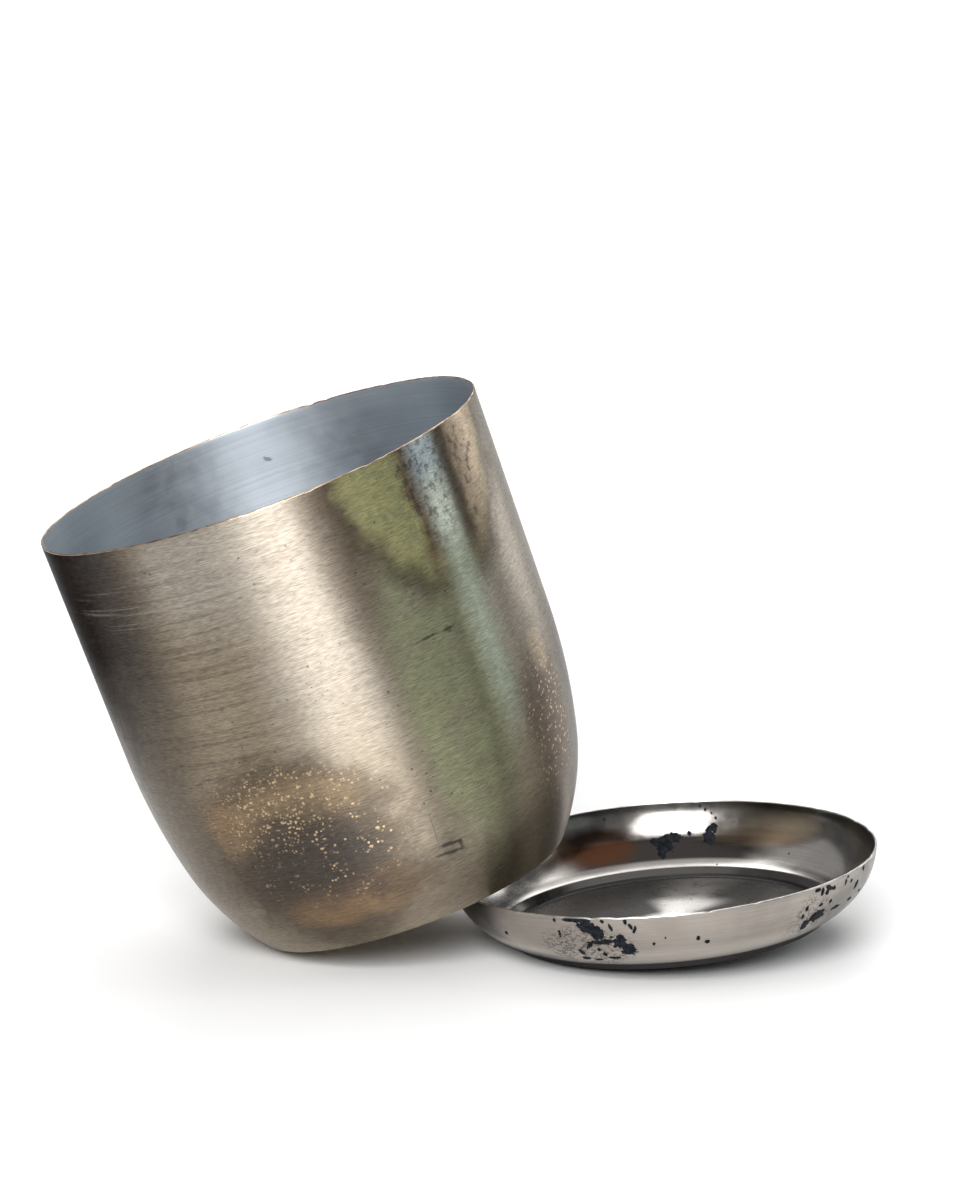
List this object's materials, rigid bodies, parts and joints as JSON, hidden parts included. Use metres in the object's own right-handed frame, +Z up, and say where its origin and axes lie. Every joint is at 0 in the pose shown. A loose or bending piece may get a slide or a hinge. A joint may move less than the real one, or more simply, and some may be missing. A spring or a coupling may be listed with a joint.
{
  "type": "candle mold",
  "caption": "Plain metal candle mould: a deep round cup with a soft shoulder and flat base, leaning on the shallow round dish that it stands in.",
  "frame": {"origin": "middle of the footprint of the leaning cup and its dish, on the surface that both stand on", "axes": "+Z up; +X from the cup towards the dish, along the lean; +Y level, across the lean, to the back when +X is to the right"},
  "size_m": [0.1404, 0.077, 0.0948],
  "materials": {
    "heat_tinted_steel": "brushed around the wall, heat tinted and sooted in patches; satin grey inside",
    "polished_steel": "worn polish with flakes of black crust"
  },
  "bodies": {
    "dish": {"base_dish": "polished_steel"},
    "cup": {"mould_cup": "heat_tinted_steel"}
  },
  "joints": [
    {"name": "cup_lift", "type": "slide", "parent": "dish", "child": "cup", "axis": [0, 0, 1], "range_m": [0, 0.09]}
  ]
}
